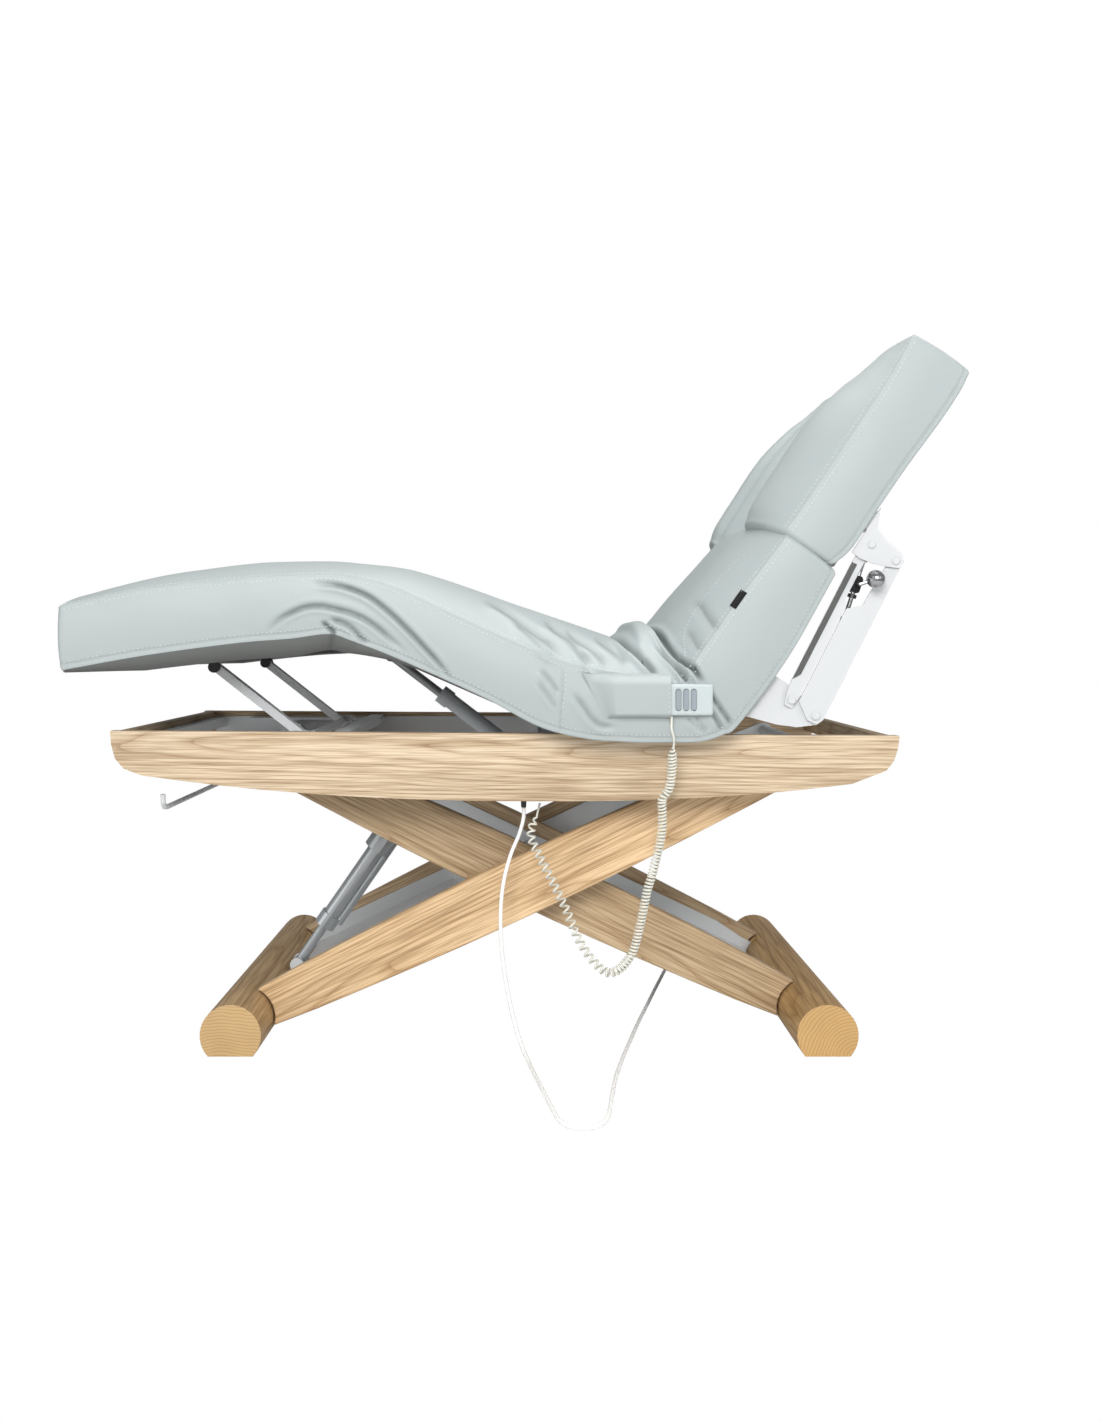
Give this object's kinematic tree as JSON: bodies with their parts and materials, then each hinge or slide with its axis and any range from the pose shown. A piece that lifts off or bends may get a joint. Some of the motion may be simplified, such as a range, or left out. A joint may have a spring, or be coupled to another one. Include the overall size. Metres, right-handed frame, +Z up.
{
  "type": "electric spa bed",
  "caption": "Electric spa bed: padded calf, thigh, seat, back and head sections on an open wooden tray, lifted by crossed wooden beams on round foot logs.",
  "frame": {"origin": "on the floor, under the middle of the bed's overall box, cords left out", "axes": "+X towards the head end, +Y away from the side with the handset, +Z up"},
  "size_m": [1.6099, 1.1442, 1.2764],
  "materials": {
    "oiled_ash": "oiled",
    "white_painted_steel": "satin",
    "white_lacquered_plywood": "satin",
    "grey_actuator_plastic": "satin",
    "bright_steel": "satin",
    "anodised_aluminium": "satin",
    "chrome": "polished",
    "black_plastic": "matte",
    "grey_leatherette": "soft satin",
    "white_plastic": "satin",
    "grey_rubber": "matte",
    "cream_cord": "satin"
  },
  "bodies": {
    "base": {"foot_log_right": "oiled_ash", "mains_cord": "cream_cord", "mains_coil": "cream_cord", "mains_plug": "black_plastic"},
    "tray": {"tray_board_near": "oiled_ash", "tray_board_far": "oiled_ash", "tray_board_foot": "oiled_ash", "tray_board_head": "oiled_ash", "tray_chassis": "white_painted_steel", "thigh_hinge_pin": "bright_steel", "back_hinge_pin": "bright_steel", "seat_board": "white_lacquered_plywood", "seat_pad": "grey_leatherette", "control_box": "grey_actuator_plastic", "cord_outlet": "black_plastic", "paper_roll_bar": "white_painted_steel", "back_actuator_tube": "grey_actuator_plastic", "handset_shell": "white_plastic", "curly_cord": "cream_cord"},
    "beam_b": {"beam_b_near": "oiled_ash", "beam_b_far": "oiled_ash", "beam_b_steel": "white_painted_steel", "lift_roller_axle": "bright_steel"},
    "beam_a": {"beam_a_near": "oiled_ash", "beam_a_far": "oiled_ash", "beam_a_steel": "white_painted_steel", "scissor_pivot_shaft": "bright_steel"},
    "foot_left": {"foot_log_left": "oiled_ash"},
    "lift_rod": {"lift_actuator_rod": "anodised_aluminium"},
    "lift_tube": {"lift_actuator_tube": "grey_actuator_plastic"},
    "thigh": {"thigh_panel": "white_lacquered_plywood", "thigh_pad": "grey_leatherette", "knee_hinge_pin": "bright_steel"},
    "calf": {"calf_panel": "white_lacquered_plywood", "calf_pad": "grey_leatherette"},
    "leg_links": {"leg_links": "white_painted_steel", "leg_link_cap_near": "black_plastic", "leg_link_cap_far": "black_plastic"},
    "leg_tube": {"leg_actuator_tube": "grey_actuator_plastic"},
    "leg_rod": {"leg_actuator_rod": "anodised_aluminium"},
    "back": {"back_panel": "white_lacquered_plywood", "back_pad": "grey_leatherette", "back_side_plate_near": "white_painted_steel", "back_side_plate_far": "white_painted_steel"},
    "back_rod": {"back_actuator_rod": "anodised_aluminium"},
    "inner_link": {"head_inner_link_near": "white_painted_steel", "head_inner_link_far": "white_painted_steel"},
    "outer_link": {"head_outer_link_near": "white_painted_steel", "head_outer_link_far": "white_painted_steel"},
    "head": {"head_panel": "white_lacquered_plywood", "head_pad": "grey_leatherette", "head_bracket_near": "white_painted_steel", "head_bracket_far": "white_painted_steel"},
    "gas_tube": {"gas_spring_tube": "black_plastic"},
    "gas_rod": {"gas_spring_rod": "chrome"},
    "lever": {"release_lever": "chrome"},
    "key_1": {"handset_key_1": "grey_rubber"},
    "key_2": {"handset_key_2": "grey_rubber"},
    "key_3": {"handset_key_3": "grey_rubber"}
  },
  "joints": [
    {"name": "lift", "type": "slide", "parent": "base", "child": "tray", "axis": [0, 0, 1], "range_m": [-0.14, 0.145], "deforming": ["mains_cord"]},
    {"name": "beam_b_swing", "type": "hinge", "parent": "base", "child": "beam_b", "pos_m": [0.5694, 0, 0.0375], "axis": [0, 1, 0], "range_deg": [-7.7, 8.8]},
    {"name": "beam_a_swing", "type": "hinge", "parent": "beam_b", "child": "beam_a", "pos_m": [0.0354, 0, 0.28875], "axis": [0, 1, 0], "range_deg": [-17.5, 15.4]},
    {"name": "left_foot_level", "type": "hinge", "parent": "beam_a", "child": "foot_left", "pos_m": [-0.4986, 0, 0.0375], "axis": [0, 1, 0], "range_deg": [-7.7, 8.8]},
    {"name": "lift_rod_swing", "type": "hinge", "parent": "beam_a", "child": "lift_rod", "pos_m": [-0.4366, 0, 0.085], "axis": [0, 1, 0], "range_deg": [-2.2, 2]},
    {"name": "lift_tube_stroke", "type": "slide", "parent": "lift_rod", "child": "lift_tube", "axis": [0.5689, 0, 0.8224], "range_m": [-0.073, 0.084]},
    {"name": "leg_raise", "type": "hinge", "parent": "tray", "child": "thigh", "pos_m": [0.0684, 0, 0.588], "axis": [0, 1, 0], "range_deg": [-23.6, 4]},
    {"name": "knee_fold", "type": "hinge", "parent": "thigh", "child": "calf", "pos_m": [-0.32105, 0, 0.75815], "axis": [0, 1, 0], "range_deg": [-5.6, 32.2]},
    {"name": "leg_link_swing", "type": "hinge", "parent": "tray", "child": "leg_links", "pos_m": [-0.3876, 0, 0.56], "axis": [0, 1, 0], "range_deg": [-38.8, 6.8]},
    {"name": "leg_tube_swing", "type": "hinge", "parent": "tray", "child": "leg_tube", "pos_m": [0.0234, 0.055, 0.497], "axis": [0, 1, 0], "range_deg": [-23.6, 4.2]},
    {"name": "leg_rod_stroke", "type": "slide", "parent": "leg_tube", "child": "leg_rod", "axis": [-0.7945, 0, 0.6072], "range_m": [-0.043, 0.008]},
    {"name": "back_raise", "type": "hinge", "parent": "tray", "child": "back", "pos_m": [0.4009, 0, 0.588], "axis": [0, -1, 0], "range_deg": [-57, 8]},
    {"name": "back_rod_stroke", "type": "slide", "parent": "tray", "child": "back_rod", "axis": [1, 0, 0], "range_m": [-0.058, 0.009]},
    {"name": "head_drop", "type": "hinge", "parent": "back", "child": "inner_link", "pos_m": [0.50279, 0, 0.63749], "axis": [0, 1, 0], "range_deg": [0, 18]},
    {"name": "outer_link_swing", "type": "hinge", "parent": "back", "child": "outer_link", "pos_m": [0.54566, 0, 0.60894], "axis": [0, 1, 0], "range_deg": [-0.2, 18.2]},
    {"name": "head_level", "type": "hinge", "parent": "inner_link", "child": "head", "pos_m": [0.64414, 0, 0.9139], "axis": [0, 1, 0], "range_deg": [-18.2, 0.2]},
    {"name": "gas_tube_swing", "type": "hinge", "parent": "back", "child": "gas_tube", "pos_m": [0.54566, 0, 0.60894], "axis": [0, 1, 0], "range_deg": [-0.2, 18]},
    {"name": "gas_rod_stroke", "type": "slide", "parent": "gas_tube", "child": "gas_rod", "axis": [0.3073, 0, 0.9516], "range_m": [-0.0168, 0.0005]},
    {"name": "release_lever_turn", "type": "hinge", "parent": "gas_rod", "child": "lever", "pos_m": [0.62125, -0.3395, 0.84303], "axis": [0.3073, 0, 0.9516], "range_deg": [0, 7], "stiffness_Nm_per_rad": 0.6},
    {"name": "key_1_rock", "type": "hinge", "parent": "tray", "child": "key_1", "pos_m": [0.2974, -0.3885, 0.6395], "axis": [1, 0, 0], "range_deg": [-4, 4], "stiffness_Nm_per_rad": 0.15},
    {"name": "key_2_rock", "type": "hinge", "parent": "tray", "child": "key_2", "pos_m": [0.3109, -0.3885, 0.6395], "axis": [1, 0, 0], "range_deg": [-4, 4], "stiffness_Nm_per_rad": 0.15},
    {"name": "key_3_rock", "type": "hinge", "parent": "tray", "child": "key_3", "pos_m": [0.3244, -0.3885, 0.6395], "axis": [1, 0, 0], "range_deg": [-4, 4], "stiffness_Nm_per_rad": 0.15}
  ],
  "couplings": [
    {"joint": "beam_b_swing", "follows": "lift", "rad_per_m": 0.944},
    {"joint": "beam_a_swing", "follows": "lift", "rad_per_m": -1.888},
    {"joint": "left_foot_level", "follows": "lift", "rad_per_m": 0.944},
    {"joint": "lift_rod_swing", "follows": "lift", "rad_per_m": -0.223},
    {"joint": "lift_tube_stroke", "follows": "lift", "ratio": 0.5103},
    {"joint": "knee_fold", "follows": "leg_raise", "ratio": -1.3559},
    {"joint": "leg_link_swing", "follows": "leg_raise", "ratio": 1.6312},
    {"joint": "leg_tube_swing", "follows": "leg_raise", "ratio": 0.9887},
    {"joint": "leg_rod_stroke", "follows": "leg_raise", "m_per_rad": 0.1009},
    {"joint": "back_rod_stroke", "follows": "back_raise", "m_per_rad": 0.0568},
    {"joint": "outer_link_swing", "follows": "head_drop", "ratio": 1},
    {"joint": "head_level", "follows": "head_drop", "ratio": -1},
    {"joint": "gas_tube_swing", "follows": "head_drop", "ratio": 0.98},
    {"joint": "gas_rod_stroke", "follows": "head_drop", "m_per_rad": -0.0509}
  ]
}
